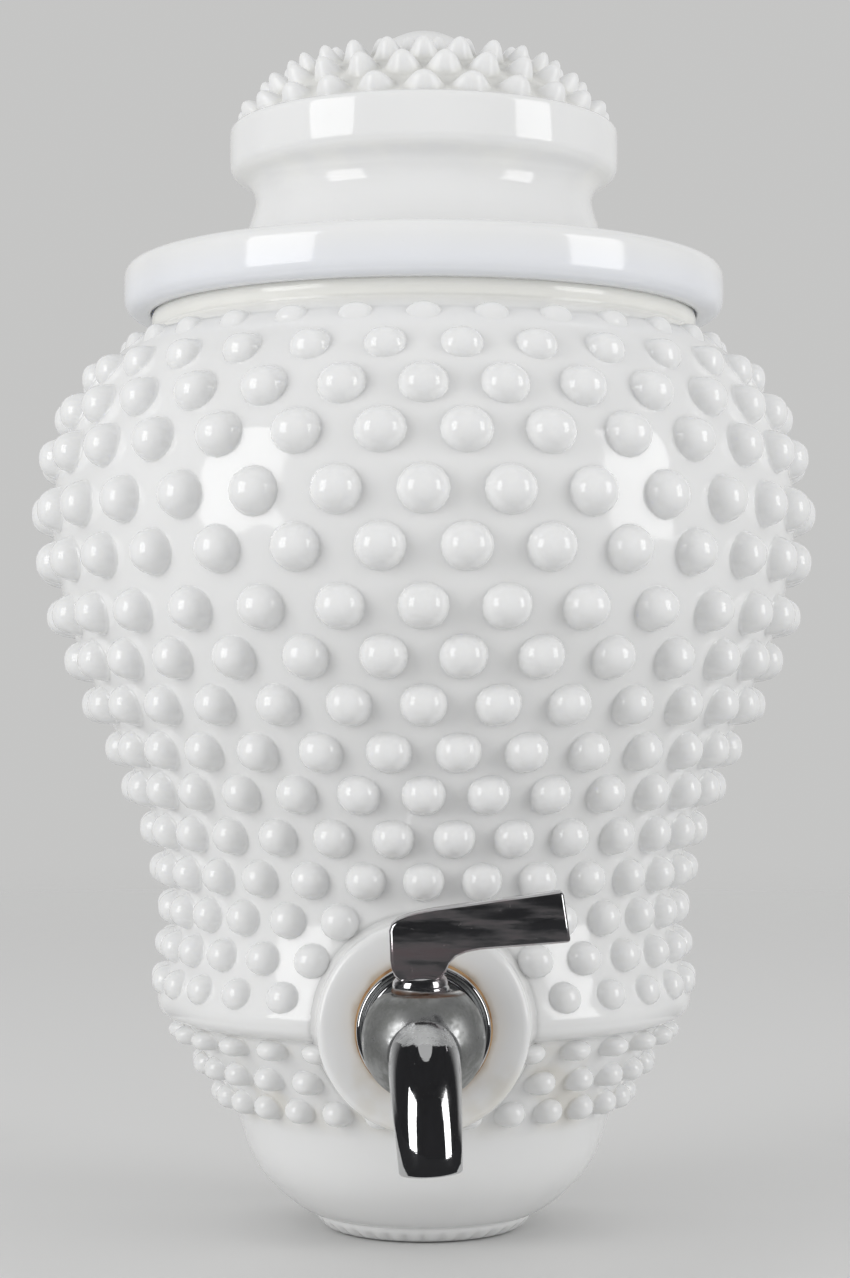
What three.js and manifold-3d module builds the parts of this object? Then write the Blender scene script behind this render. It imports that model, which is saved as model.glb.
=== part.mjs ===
// Wall-hung glass urn with a knobbed surface, a lift-off lid and a lever tap.
// Millimetres, +Z up. The front looks along -Y, and the flat back is the plane y = 0.
import * as THREE from 'three';
import { mergeVertices } from 'three/addons/utils/BufferGeometryUtils.js';
import Module from 'manifold-3d';

const wasm = await Module();
wasm.setup();

// Urn: heights are measured from the bottom of the foot, radii from the upright axis
const urnHeight = 225;
const bellyRadius = 90.2;
const backDepth = 30;
const wallPointHeight = 120;
const glassThickness = 5;
const floorHeight = 9.5;
const mouthRadius = 60;
const footRadius = 26;
const footHeight = 3.2;
const footRecessRadius = 20;
const footRecessDepth = 2.2;

// Hobs on the urn
const hobsPerTurn = 30;
const hobHeight = 4.5;
const hobRadius = 5.45;

// Boss for the tap, seat inside it and the hole for hanging
const bossRadius = 23.9;
const bossHeight = 55;
const bossForward = 64;
const bossThickness = 11;
const seatRadius = 17.5;
const hangingHoleRadius = 5;
const hangingHoleDrop = 25;
const hangingHoleHeight = urnHeight - hangingHoleDrop;

// Lid: a flange round the mouth, a waisted neck, a band and a knobbed dome
const lidHeight = 70.5;
const flangeRadius = 72.8;
const flangeTopShare = 0.163;
const rimOverlap = 3.5;
const rimClearance = 1.6;
const lidBackClearance = 1;
const collarClearance = 1.2;
const collarThickness = 4.5;
const collarDepth = 9;
const lidHobsPerTurn = 24;
const lidHobHeight = 3.8;
const lidHobRadius = 5.2;

// Tap: forward and upward distances are measured from the boss's face and its axis
const tapTilt = THREE.MathUtils.degToRad(3.6);
const shankRadius = 7.5;
const shankClearance = 0.8;
const shankBoreRadius = 4;
const shankOverhang = 3.5;
const tapFlangeRadius = 14.8;
const tapFlangeThickness = 3;
const tapNeckRadius = 9.5;
const bulbRadius = 13.3;
const bulbForward = 20;
const bulbTop = 10;
const bulbBottom = 11;
const spoutReach = 43;
const spoutDrop = 25;
const spoutRootRadius = 8.2;
const spoutTipRadius = 6.5;
const spoutWall = 1.6;

// Seals and fixings of the tap
const gasketRadius = 15.3;
const gasketThickness = 2;
const washerRadius = 14;
const washerThickness = 1.2;
const shankNutAcrossFlats = 22;
const shankNutThickness = 6;

// Key: plug, stem and lever in one casting, with its tail washer, spring and nut
const stemRadius = 5.9;
const plugTipRadius = 5.1;
const plugPortRadius = 3.6;
const leverReach = 32.5;
const leverFoot = 13.6;
const leverTop = 29.9;
const leverThickness = 7.4;
const leverBevel = 0.9;
const tailRadius = 2.5;
const tailWasherRadius = 6.4;
const tailWasherThickness = 1;
const springWireRadius = 0.45;
const springRadius = 3.9;
const springHeight = 3.4;
const springTurns = 2;
const tailNutAcrossFlats = 9;
const tailNutThickness = 2.8;
const tailOverhang = 0.8;

// Gap left between pieces that bear on each other, and how far a cut runs past what it cuts
const seatGap = 0.3;
const overrun = 5;

// Facets round a turn
const fineFacets = 48;
const plainFacets = 32;

// Outer outline of the urn from foot to rim. Heights are shares of urnHeight and radii shares
// of bellyRadius. The third number, where there is one, is the share of hobRadius of a row of hobs.
const urnOutlineShares = [
  [0.0142, 0.29], [0.0253, 0.348], [0.0364, 0.386], [0.0582, 0.436], [0.08, 0.466],
  [0.1289, 0.502], [0.1493, 0.53, 0.8], [0.1809, 0.577, 0.82], [0.2133, 0.634, 0.82],
  [0.2333, 0.652], [0.2392, 0.685], [0.25, 0.694], [0.2684, 0.6875, 0.84], [0.3067, 0.675, 0.85],
  [0.3453, 0.6674, 0.87], [0.3858, 0.6907, 0.89], [0.4284, 0.715, 0.91], [0.4729, 0.765, 0.92],
  [0.5133, 0.807, 0.94], [0.5591, 0.866, 0.96], [0.6058, 0.9146, 0.97], [0.6538, 0.958, 0.99],
  [0.7124, 0.99, 1], [0.7671, 1, 1], [0.8258, 0.982, 1], [0.8729, 0.939, 0.93],
  [0.9156, 0.88, 0.84], [0.9489, 0.782, 0.8], [0.9667, 0.732], [1, 0.724],
];

// Heights, as shares of urnHeight, at which the inner surface follows the outer one
const cavityHeightShares = [0.0364, 0.0582, 0.08, 0.1289, 0.1809, 0.3067, 0.3858, 0.4729, 0.5591,
  0.6538, 0.7671, 0.8729, 0.9489];

// Outer outline of the lid from the flange's underside. Heights are shares of lidHeight and radii
// shares of flangeRadius, and the third number is the share of lidHobRadius.
const lidOutlineShares = [
  [0, 0.96], [0.014, 0.982], [0.043, 1], [0.128, 1], [0.153, 0.988],
  [flangeTopShare, 0.965],
  [0.168, 0.66], [0.185, 0.614], [0.255, 0.585], [0.38, 0.5675], [0.434, 0.5755], [0.452, 0.603],
  [0.494, 0.65], [0.525, 0.652], [0.635, 0.652], [0.67, 0.641], [0.69, 0.618],
  [0.722, 0.597, 0.97], [0.795, 0.513, 0.9], [0.85, 0.428, 0.8], [0.893, 0.343, 0.7],
  [0.92, 0.27], [0.935, 0.22], [0.965, 0.175], [0.99, 0.1],
];

// Hollow under the lid, inside the neck and the dome, in the same shares
const lidHollowShares = [
  [0.078, 0.55], [0.16, 0.508], [0.36, 0.498], [0.52, 0.48], [0.64, 0.45], [0.73, 0.395],
  [0.8, 0.3], [0.845, 0.17],
];

const forwardAxis = new THREE.Vector3(0, -1, 0);
const rightAxis = new THREE.Vector3(1, 0, 0);
const upAxis = new THREE.Vector3(0, 0, 1);

function solidOf(geometry) {
  const bare = new THREE.BufferGeometry();
  bare.setAttribute('position', geometry.getAttribute('position'));
  if (geometry.index) bare.setIndex(geometry.index);
  const merged = mergeVertices(bare);
  return new wasm.Manifold(new wasm.Mesh({
    numProp: 3,
    vertProperties: new Float32Array(merged.getAttribute('position').array),
    triVerts: new Uint32Array(merged.index.array),
  }));
}

function geometryOf(solid) {
  const mesh = solid.getMesh();
  const geometry = new THREE.BufferGeometry();
  geometry.setAttribute('position', new THREE.BufferAttribute(mesh.vertProperties, 3));
  geometry.setIndex(new THREE.BufferAttribute(mesh.triVerts, 1));
  geometry.computeVertexNormals();
  return geometry;
}

function indexedSolid(points, triangles) {
  const places = points.flatMap((point) => point.toArray());
  const geometry = new THREE.BufferGeometry();
  geometry.setAttribute('position', new THREE.Float32BufferAttribute(places, 3));
  geometry.setIndex(triangles.flat());
  return solidOf(geometry);
}

// Cylinder or cone between two points of a straight line from the origin
function rod(axis, low, high, radius, highRadius = radius, facets = plainFacets) {
  const geometry = new THREE.CylinderGeometry(highRadius, radius, high - low, facets);
  geometry.translate(0, (low + high) / 2, 0);
  const turn = new THREE.Quaternion().setFromUnitVectors(new THREE.Vector3(0, 1, 0), axis);
  geometry.applyQuaternion(turn);
  return solidOf(geometry);
}

function block(low, high) {
  const size = new THREE.Vector3().subVectors(high, low);
  const geometry = new THREE.BoxGeometry(size.x, size.y, size.z);
  geometry.translate((low.x + high.x) / 2, (low.y + high.y) / 2, (low.z + high.z) / 2);
  return solidOf(geometry);
}

// Body turned about Z from [height, radius] points that run upward and start and end on the axis
function turned(points, facets) {
  const outline = points.map(([height, radius]) => new THREE.Vector2(radius, height));
  const geometry = new THREE.LatheGeometry(outline, facets);
  geometry.rotateX(Math.PI / 2);
  return solidOf(geometry);
}

// Tube or bar through rings of equal length, closed at both ends
function lofted(rings) {
  const sides = rings[0].length;
  const triangles = [];
  for (let ring = 0; ring + 1 < rings.length; ring += 1) {
    for (let side = 0; side < sides; side += 1) {
      const next = (side + 1) % sides;
      const [a, b] = [ring * sides + side, ring * sides + next];
      triangles.push([a, b, b + sides], [a, b + sides, a + sides]);
    }
  }
  const last = (rings.length - 1) * sides;
  for (let side = 1; side + 1 < sides; side += 1) {
    triangles.push([0, side + 1, side], [last, last + side, last + side + 1]);
  }
  return indexedSolid(rings.flat(), triangles);
}

// Ring of points round a place, square to a direction, starting at the given side
function ringAt(place, direction, side, radius, sides) {
  const other = direction.clone().normalize().cross(side);
  return Array.from({ length: sides }, (_, index) => {
    const angle = (2 * Math.PI * index) / sides;
    return place.clone()
      .addScaledVector(side, radius * Math.cos(angle))
      .addScaledVector(other, radius * Math.sin(angle));
  });
}

function hexagonalNut(acrossFlats, thickness, holeRadius) {
  const cornerRadius = acrossFlats / Math.sqrt(3);
  const body = rod(upAxis, 0, thickness, cornerRadius, cornerRadius, 6);
  return body.subtract(rod(upAxis, -overrun, thickness + overrun, holeRadius));
}

function flatRing(thickness, outerRadius, holeRadius) {
  const body = rod(upAxis, 0, thickness, outerRadius, outerRadius, fineFacets);
  return body.subtract(rod(upAxis, -overrun, thickness + overrun, holeRadius));
}

function outlineOf(shares, height, radius, base, knobRadius) {
  return shares.map(([heightShare, radiusShare, knobShare]) => ({
    height: base + heightShare * height,
    radius: radiusShare * radius,
    knob: (knobShare ?? 0) * knobRadius,
  }));
}

function radiusAt(outline, height) {
  const index = Math.max(1, outline.findIndex((station) => station.height >= height));
  const [low, high] = [outline[index - 1], outline[index]];
  const part = (height - low.height) / (high.height - low.height);
  return THREE.MathUtils.lerp(low.radius, high.radius, part);
}

function polar(station, angle) {
  return new THREE.Vector3(
    station.radius * Math.sin(angle), -station.radius * Math.cos(angle), station.height);
}

function between(low, high, part) {
  return {
    height: THREE.MathUtils.lerp(low.height, high.height, part),
    radius: THREE.MathUtils.lerp(low.radius, high.radius, part),
  };
}

// Turned body whose outline may hold rows of hobs, each row half a step round from the next.
// A hob is a six-sided peak in the middle of its cell, and isBare leaves a cell without one.
function knobbedBody(outline, { perTurn, peakOf, isBare }) {
  const count = 2 * perTurn;
  const points = [];
  const triangles = [];
  const add = (point) => points.push(point) - 1;
  const angleOf = (index) => (2 * Math.PI * index) / count;
  const plainRing = (station) =>
    Array.from({ length: count }, (_, index) => add(polar(station, angleOf(index))));
  const steppedRing = (low, high, parity) =>
    Array.from({ length: count }, (_, index) => {
      const part = index % 2 === parity ? 2 / 3 : 1 / 3;
      return add(polar(between(low, high, part), angleOf(index)));
    });
  const joinPlain = (low, high) => {
    for (let index = 0; index < count; index += 1) {
      const next = (index + 1) % count;
      triangles.push([low[index], low[next], high[next]], [low[index], high[next], high[index]]);
    }
  };
  const pointNear = (station, before, after, along, across, angle) => {
    const side = along > 0 ? after : before;
    const length = Math.hypot(side.height - station.height, side.radius - station.radius);
    const part = Math.abs(along) / length;
    return polar(between(station, side, part), angle + across / station.radius);
  };
  const joinKnobs = (low, high, station, before, after, parity) => {
    for (let cell = 0; cell < perTurn; cell += 1) {
      const middle = 2 * cell + parity;
      const at = (ring, step) => ring[(middle + step + count) % count];
      const corners = [at(low, 0), at(low, 1), at(high, 1), at(high, 0), at(high, -1), at(low, -1)];
      const angle = angleOf(middle);
      if (isBare(polar(station, angle), station.knob)) {
        for (let corner = 1; corner < 5; corner += 1) {
          triangles.push([corners[0], corners[corner], corners[corner + 1]]);
        }
        continue;
      }
      const ring = corners.map((_, corner) => {
        const turn = Math.PI * (corner / 3 - 1 / 2);
        const along = station.knob * Math.sin(turn);
        const across = station.knob * Math.cos(turn);
        return add(pointNear(station, before, after, along, across, angle));
      });
      const peak = add(polar(peakOf(station, before, after), angle));
      for (let corner = 0; corner < 6; corner += 1) {
        const next = (corner + 1) % 6;
        triangles.push([corners[corner], corners[next], ring[next]]);
        triangles.push([corners[corner], ring[next], ring[corner]]);
        triangles.push([ring[corner], ring[next], peak]);
      }
    }
  };
  const bottom = add(new THREE.Vector3(0, 0, outline[0].height));
  const lowest = plainRing(outline[0]);
  lowest.forEach((_, index) => {
    triangles.push([bottom, lowest[(index + 1) % count], lowest[index]]);
  });
  let low = lowest;
  let row = 0;
  for (let index = 1; index < outline.length; index += 1) {
    const [before, station, after] = [outline[index - 1], outline[index], outline[index + 1]];
    if (!station.knob) {
      if (before.knob) continue;
      const ring = plainRing(station);
      joinPlain(low, ring);
      low = ring;
      continue;
    }
    const parity = row % 2;
    const high = after.knob ? steppedRing(station, after, parity) : plainRing(after);
    joinKnobs(low, high, station, before, after, parity);
    low = high;
    row += 1;
  }
  const top = add(new THREE.Vector3(0, 0, outline.at(-1).height));
  low.forEach((_, index) => {
    triangles.push([low[index], low[(index + 1) % count], top]);
  });
  return indexedSolid(points, triangles);
}

// Unit normal of an outline at a station, pointing away from the axis
function outwardNormal(before, after) {
  const rise = after.height - before.height;
  const spread = after.radius - before.radius;
  const length = Math.hypot(rise, spread);
  return { height: -spread / length, radius: rise / length };
}

function normalPeak(height) {
  return (station, before, after) => {
    const normal = outwardNormal(before, after);
    return {
      height: station.height + height * normal.height,
      radius: station.radius + height * normal.radius,
    };
  };
}

function frontOf(solid, back, side) {
  const keep = block(
    new THREE.Vector3(-side, -side, -side), new THREE.Vector3(side, back, 2 * side + urnHeight));
  return solid.intersect(keep);
}

const urnOutline = outlineOf(urnOutlineShares, urnHeight, bellyRadius, 0, hobRadius);
const lidBase = urnHeight - rimOverlap;
const lidOutline = outlineOf(lidOutlineShares, lidHeight, flangeRadius, lidBase, lidHobRadius);
const reach = bellyRadius + hobHeight + bossForward;
const rimRadius = urnOutline.at(-1).radius;

function urnGlass() {
  const isBare = (place, knob) => {
    const besideBoss = Math.hypot(place.x, place.z - bossHeight) < bossRadius + knob / 2;
    return place.y > backDepth - knob || (place.y < 0 && besideBoss);
  };
  const round = knobbedBody(urnOutline, {
    perTurn: hobsPerTurn, peakOf: normalPeak(hobHeight), isBare,
  });
  const foot = rod(upAxis, 0, footHeight + footHeight / 2, footRadius, footRadius, fineFacets)
    .subtract(rod(upAxis, -overrun, footRecessDepth, footRecessRadius));
  const boss = rod(forwardAxis, backDepth, bossForward, bossRadius, bossRadius, fineFacets)
    .translate([0, 0, bossHeight]);
  const outside = frontOf(round.add(boss), backDepth, reach).add(foot);

  const inner = cavityHeightShares.map((share) => {
    const height = share * urnHeight;
    const step = glassThickness / 2;
    const before = { height: height - step, radius: radiusAt(urnOutline, height - step) };
    const after = { height: height + step, radius: radiusAt(urnOutline, height + step) };
    const normal = outwardNormal(before, after);
    const radius = radiusAt(urnOutline, height) - glassThickness * normal.radius;
    return [height - glassThickness * normal.height, radius];
  });
  const cavity = turned([
    [floorHeight, 0], [floorHeight, footRadius], ...inner,
    [urnHeight - rimOverlap, mouthRadius],
    [urnHeight + overrun, mouthRadius], [urnHeight + overrun, 0],
  ], plainFacets);
  const hollow = frontOf(cavity, backDepth - glassThickness, reach);

  const seatForward = bossForward - bossThickness;
  const seatRoom = rod(forwardAxis, backDepth, seatForward, seatRadius, seatRadius, fineFacets);
  const seatFront = bossForward - glassThickness;
  const seat = rod(forwardAxis, seatForward, seatFront, seatRadius, seatRadius, fineFacets);
  const shankHole = rod(forwardAxis, backDepth, bossForward + overrun, shankRadius + shankClearance);
  const hangingHole = rod(forwardAxis, -backDepth - overrun, glassThickness + overrun - backDepth,
    hangingHoleRadius);
  return outside
    .subtract(hollow)
    .subtract(seatRoom.translate([0, 0, bossHeight]))
    .add(seat.translate([0, 0, bossHeight]))
    .subtract(shankHole.translate([0, 0, bossHeight]))
    .subtract(hangingHole.translate([0, 0, hangingHoleHeight]));
}

function lidGlass() {
  const back = backDepth - lidBackClearance;
  const isBare = (place, knob) => place.y > back - knob;
  const peakOf = (station) => ({ height: station.height + lidHobHeight, radius: station.radius });
  const round = knobbedBody(lidOutline, { perTurn: lidHobsPerTurn, peakOf, isBare });
  const seat = urnHeight + seatGap;
  const flangeTop = lidBase + flangeTopShare * lidHeight;
  const rimRoom = rod(upAxis, lidBase - overrun, seat, rimRadius + rimClearance,
    rimRadius + rimClearance, fineFacets);
  const collarRadius = mouthRadius - collarClearance;
  const collarBack = backDepth - glassThickness - collarClearance;
  const collar = frontOf(
    rod(upAxis, seat - collarDepth, (seat + flangeTop) / 2, collarRadius), collarBack, reach);
  const collarHollow = frontOf(
    rod(upAxis, seat - collarDepth - overrun, seat + seatGap, collarRadius - collarThickness),
    collarBack - collarThickness, reach);
  const stations = outlineOf(lidHollowShares, lidHeight, flangeRadius, lidBase, 0);
  const ceiling = stations.at(-1).height;
  const knobHollow = turned([
    [lidBase, 0], [lidBase, stations[0].radius],
    ...stations.map((station) => [station.height, station.radius]), [ceiling, 0],
  ], plainFacets);
  return frontOf(round, back, reach)
    .subtract(rimRoom)
    .add(collar)
    .subtract(collarHollow)
    .subtract(frontOf(knobHollow, back - glassThickness, reach));
}

// Centre of the spout at a part of its bend, and the direction that it runs in there
function spoutPlace(part) {
  const angle = (part * Math.PI) / 2;
  const run = spoutReach - bulbForward;
  const forward = bulbForward + run * Math.sin(angle);
  return {
    place: new THREE.Vector3(0, -forward, -spoutDrop * (1 - Math.cos(angle))),
    direction: new THREE.Vector3(0, -run * Math.cos(angle), -spoutDrop * Math.sin(angle)),
  };
}

function spoutBar(inset, ending) {
  const steps = 8;
  const rings = [];
  for (let step = 0; step <= steps; step += 1) {
    const part = step / steps;
    const { place, direction } = spoutPlace(part);
    const radius = THREE.MathUtils.lerp(spoutRootRadius, spoutTipRadius, part) - inset;
    rings.push(ringAt(place, direction, rightAxis, radius, plainFacets / 2));
  }
  if (ending > 0) {
    rings.push(rings.at(-1).map((point) => point.clone().addScaledVector(upAxis, -ending)));
  }
  return lofted(rings);
}

const flangeBack = 2 * seatGap + gasketThickness;
const flangeFront = flangeBack + tapFlangeThickness;
const innerStack = bossThickness + seatGap;
const washerFace = innerStack + gasketThickness + seatGap;
const nutFace = washerFace + washerThickness + seatGap;
const shankEnd = nutFace + shankNutThickness + shankOverhang;

function tapBody() {
  const flange = rod(forwardAxis, flangeBack, flangeFront, tapFlangeRadius, tapFlangeRadius, fineFacets);
  const shank = rod(forwardAxis, -shankEnd, flangeFront, shankRadius);
  const neck = rod(forwardAxis, flangeBack, bulbForward, tapNeckRadius);
  const ball = solidOf(new THREE.SphereGeometry(bulbRadius, plainFacets, plainFacets / 2)
    .rotateX(Math.PI / 2)).translate([0, -bulbForward, 0]);
  const bulb = ball.intersect(block(
    new THREE.Vector3(-bulbRadius, -bulbForward - bulbRadius, -bulbBottom),
    new THREE.Vector3(bulbRadius, bulbRadius - bulbForward, bulbTop)));
  const plugBore = rod(upAxis, -bulbBottom, bulbTop, plugTipRadius + seatGap, stemRadius + seatGap)
    .add(rod(upAxis, -bulbBottom - overrun, bulbTop, plugTipRadius + seatGap))
    .add(rod(upAxis, bulbTop - seatGap, bulbTop + overrun, stemRadius + seatGap))
    .translate([0, -bulbForward, 0]);
  const waterway = rod(forwardAxis, -shankEnd - overrun, bulbForward, shankBoreRadius);
  return flange.add(shank).add(neck).add(bulb).add(spoutBar(0, 0))
    .subtract(plugBore).subtract(waterway).subtract(spoutBar(spoutWall, overrun));
}

// Outline of the lever seen from the front, right of the stem's axis and above the foot of the lever.
// Places are shares of leverReach and of the rise from leverFoot to leverTop.
function leverOutline() {
  const rise = leverTop - leverFoot;
  const at = (reachShare, riseShare) => [leverReach * reachShare, leverFoot + rise * riseShare];
  const outline = new THREE.Shape();
  outline.moveTo(...at(-0.16, 0));
  outline.lineTo(...at(0.16, 0));
  outline.lineTo(...at(0.166, 0.14));
  outline.quadraticCurveTo(...at(0.18, 0.29), ...at(0.35, 0.305));
  outline.lineTo(...at(1, 0.33));
  outline.lineTo(...at(0.98, 1));
  outline.lineTo(...at(0.1, 0.875));
  outline.quadraticCurveTo(...at(-0.1, 0.84), ...at(-0.18, 0.66));
  outline.lineTo(...at(-0.185, 0.12));
  outline.closePath();
  return outline;
}

function tapKey() {
  const lever = new THREE.ExtrudeGeometry(leverOutline(), {
    depth: leverThickness - 2 * leverBevel,
    bevelEnabled: true,
    bevelThickness: leverBevel,
    bevelSize: leverBevel,
    bevelOffset: -leverBevel,
    bevelSegments: 2,
    curveSegments: 6,
  });
  lever.translate(0, 0, leverBevel - leverThickness / 2);
  lever.rotateX(Math.PI / 2);
  const plug = rod(upAxis, -bulbBottom, bulbTop, plugTipRadius, stemRadius);
  const stem = rod(upAxis, bulbTop, leverFoot + leverBevel, stemRadius);
  const tail = rod(upAxis, -tailEnd, -bulbBottom, tailRadius);
  const port = rod(rightAxis, -stemRadius - overrun, stemRadius + overrun, plugPortRadius);
  return solidOf(lever).add(stem).add(plug).add(tail).subtract(port);
}

const tailWasherTop = bulbBottom + seatGap;
const springTop = tailWasherTop + tailWasherThickness + seatGap;
const tailNutTop = springTop + springHeight + seatGap;
const tailEnd = tailNutTop + tailNutThickness + tailOverhang;

function tailSpring() {
  const sides = 6;
  const stepsPerTurn = 12;
  const steps = springTurns * stepsPerTurn;
  const climb = springHeight - 2 * springWireRadius;
  const rings = [];
  for (let step = 0; step <= steps; step += 1) {
    const angle = (2 * Math.PI * step) / stepsPerTurn;
    const height = springWireRadius + (climb * step) / steps;
    const arm = new THREE.Vector3(Math.cos(angle), Math.sin(angle), 0);
    const place = arm.clone().multiplyScalar(springRadius).setZ(height);
    const direction = new THREE.Vector3(-Math.sin(angle), Math.cos(angle), 0);
    rings.push(ringAt(place, direction, arm, springWireRadius, sides));
  }
  return lofted(rings);
}

const milkGlass = { color: 0xe9ebee, roughness: 0.12, metalness: 0 };
const chrome = { color: 0xb9bbbe, roughness: 0.08, metalness: 1 };
const perishedRubber = { color: 0x8a5a34, roughness: 0.8, metalness: 0 };
const blackRubber = { color: 0x2a2a2a, roughness: 0.7, metalness: 0 };
const brass = { color: 0xb08d4a, roughness: 0.35, metalness: 1 };
const steel = { color: 0x9a9ca0, roughness: 0.3, metalness: 1 };

function piece(name, solid, look) {
  const mesh = new THREE.Mesh(geometryOf(solid), new THREE.MeshStandardMaterial(look));
  mesh.name = name;
  return mesh;
}

// Piece that is modelled along +Z and stands on the tap's axis, with its lower face at a forward place
function onShank(name, solid, look, forward) {
  const mesh = piece(name, solid, look);
  mesh.rotation.x = Math.PI / 2;
  mesh.position.y = -forward;
  return mesh;
}

function underBulb(name, solid, look, depth) {
  const mesh = piece(name, solid, look);
  mesh.position.set(0, -bulbForward, -depth);
  return mesh;
}

const tap = new THREE.Group();
tap.position.set(0, -bossForward, bossHeight);
tap.rotation.y = -tapTilt;
const key = piece('tap_key', tapKey(), chrome);
key.position.y = -bulbForward;
const shankHoleInRing = shankRadius + shankClearance / 2;
const tailHoleRadius = tailRadius + seatGap;
tap.add(
  piece('tap_body', tapBody(), chrome),
  key,
  onShank('outer_gasket', flatRing(gasketThickness, gasketRadius, shankHoleInRing),
    perishedRubber, seatGap),
  onShank('inner_gasket', flatRing(gasketThickness, washerRadius, shankHoleInRing),
    blackRubber, -innerStack - gasketThickness),
  onShank('shank_washer', flatRing(washerThickness, washerRadius, shankHoleInRing),
    steel, -washerFace - washerThickness),
  onShank('shank_nut', hexagonalNut(shankNutAcrossFlats, shankNutThickness, shankHoleInRing),
    brass, -nutFace - shankNutThickness),
  underBulb('tail_washer', flatRing(tailWasherThickness, tailWasherRadius, tailHoleRadius), brass,
    tailWasherTop + tailWasherThickness),
  underBulb('tail_spring', tailSpring(), steel, springTop + springHeight),
  underBulb('tail_nut', hexagonalNut(tailNutAcrossFlats, tailNutThickness, tailHoleRadius), brass,
    tailNutTop + tailNutThickness),
);

const lavabo = new THREE.Group();
lavabo.add(piece('urn_glass', urnGlass(), milkGlass), piece('lid_glass', lidGlass(), milkGlass), tap);
lavabo.position.set(0, -backDepth, -wallPointHeight);

const part = new THREE.Group();
part.add(lavabo);

export default part;
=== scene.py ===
# Looks of the wall urn: milk glass body and lid, chrome lever tap, studio and camera
import bisect
from math import asin, atan2, cos, degrees, dist, exp, hypot, inf, pi, radians, sin, sqrt

import bmesh
import bpy
from mathutils import Matrix, Vector


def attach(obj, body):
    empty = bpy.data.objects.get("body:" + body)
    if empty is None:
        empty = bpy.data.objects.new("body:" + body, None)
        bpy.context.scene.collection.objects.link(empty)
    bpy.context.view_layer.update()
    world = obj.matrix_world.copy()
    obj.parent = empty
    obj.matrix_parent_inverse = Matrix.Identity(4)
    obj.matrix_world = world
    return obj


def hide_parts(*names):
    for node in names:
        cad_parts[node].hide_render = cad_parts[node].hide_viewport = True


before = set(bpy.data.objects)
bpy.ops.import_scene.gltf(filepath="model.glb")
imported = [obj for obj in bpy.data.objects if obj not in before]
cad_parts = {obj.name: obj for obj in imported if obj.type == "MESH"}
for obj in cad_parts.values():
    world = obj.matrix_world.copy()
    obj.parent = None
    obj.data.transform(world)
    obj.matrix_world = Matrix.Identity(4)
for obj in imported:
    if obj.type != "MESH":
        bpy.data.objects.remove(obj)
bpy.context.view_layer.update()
print("frame loaded:", len(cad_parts), "nodes")

# glass is drawn in millimetres from the foot's centre, the tap from the middle of the boss's face
placing = {"foot": (0, -0.030, -0.120), "tap": (0, -64, 55), "tapLean": -3.6}
toFrame = Matrix.Translation(placing["foot"]) @ Matrix.Scale(0.001, 4)
toTap = (toFrame @ Matrix.Translation(placing["tap"])
         @ Matrix.Rotation(radians(placing["tapLean"]), 4, "Y"))

mergeGap = 0.0005  # points nearer to each other than this become one
cutGap = 0.0001  # points nearer to a cutting plane than this lie on it
sameLevel = 0.01  # points nearer in height than this belong to one ring


# helpers for meshes

def smoothCurve(points, step):
    # evenly stepped curve through [radius, height] points, with every point kept on it
    curve = [tuple(points[0])]
    kept = [0]
    for index in range(len(points) - 1):
        before = Vector(points[max(index - 1, 0)])
        start, end = Vector(points[index]), Vector(points[index + 1])
        after = Vector(points[min(index + 2, len(points) - 1)])
        length = (end - start).length
        leave = (end - before).normalized() * length
        arrive = (after - start).normalized() * length
        steps = max(1, round(length / step))
        for count in range(1, steps + 1):
            t = count / steps
            place = (start * (2 * t**3 - 3 * t**2 + 1) + leave * (t**3 - 2 * t**2 + t)
                     + end * (3 * t**2 - 2 * t**3) + arrive * (t**3 - t**2))
            curve.append(tuple(place))
        kept.append(len(curve) - 1)
    return curve, kept


def newMesh():
    bm = bmesh.new()
    bm.verts.layers.int.new("ring")  # place of a point along its outline
    bm.verts.layers.float.new("knob")  # how far it is raised in a hob
    return bm


def pick(parts, kind):
    return [part for part in parts if isinstance(part, kind)]


def copyRound(bm, angle, copies):
    # adds turned copies of all there is, with the seams between them closed
    bmesh.ops.spin(bm, geom=bm.verts[:] + bm.edges[:] + bm.faces[:], cent=(0, 0, 0),
                   axis=(0, 0, 1), dvec=(0, 0, 0), angle=angle * copies, steps=copies,
                   use_duplicate=True)
    bmesh.ops.remove_doubles(bm, verts=bm.verts, dist=mergeGap)


def turnOutline(outline, groups, columns):
    # turns an outline of [radius, height] points about Z: one group of columns, then its copies
    bm = newMesh()
    ring = bm.verts.layers.int["ring"]
    verts = []
    for index, (radius, height) in enumerate(outline):
        vert = bm.verts.new((0, -radius, height))
        vert[ring] = index
        verts.append(vert)
    edges = [bm.edges.new(pair) for pair in zip(verts, verts[1:])]
    angle = 2 * pi / groups
    bmesh.ops.spin(bm, geom=verts + edges, cent=(0, 0, 0), axis=(0, 0, 1), dvec=(0, 0, 0),
                   angle=angle, steps=columns, use_merge=False)
    copyRound(bm, angle, groups - 1)
    return bm


def joinMeshes(*parts):
    # one mesh of several parts, with the seams between them closed
    joined = newMesh()
    for part in parts:
        mesh = bpy.data.meshes.new("part")
        part.to_mesh(mesh)
        part.free()
        joined.from_mesh(mesh)
        bpy.data.meshes.remove(mesh)
    bmesh.ops.remove_doubles(joined, verts=joined.verts, dist=mergeGap)
    return joined


def facesOut(bm):
    bmesh.ops.recalc_face_normals(bm, faces=bm.faces)
    return bm


def openEdges(bm):
    return [edge for edge in bm.edges if edge.is_boundary]


def ringEdges(bm, height):
    # the loop of open edges at one height
    return [edge for edge in openEdges(bm)
            if all(abs(vert.co.z - height) < sameLevel for vert in edge.verts)]


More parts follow.
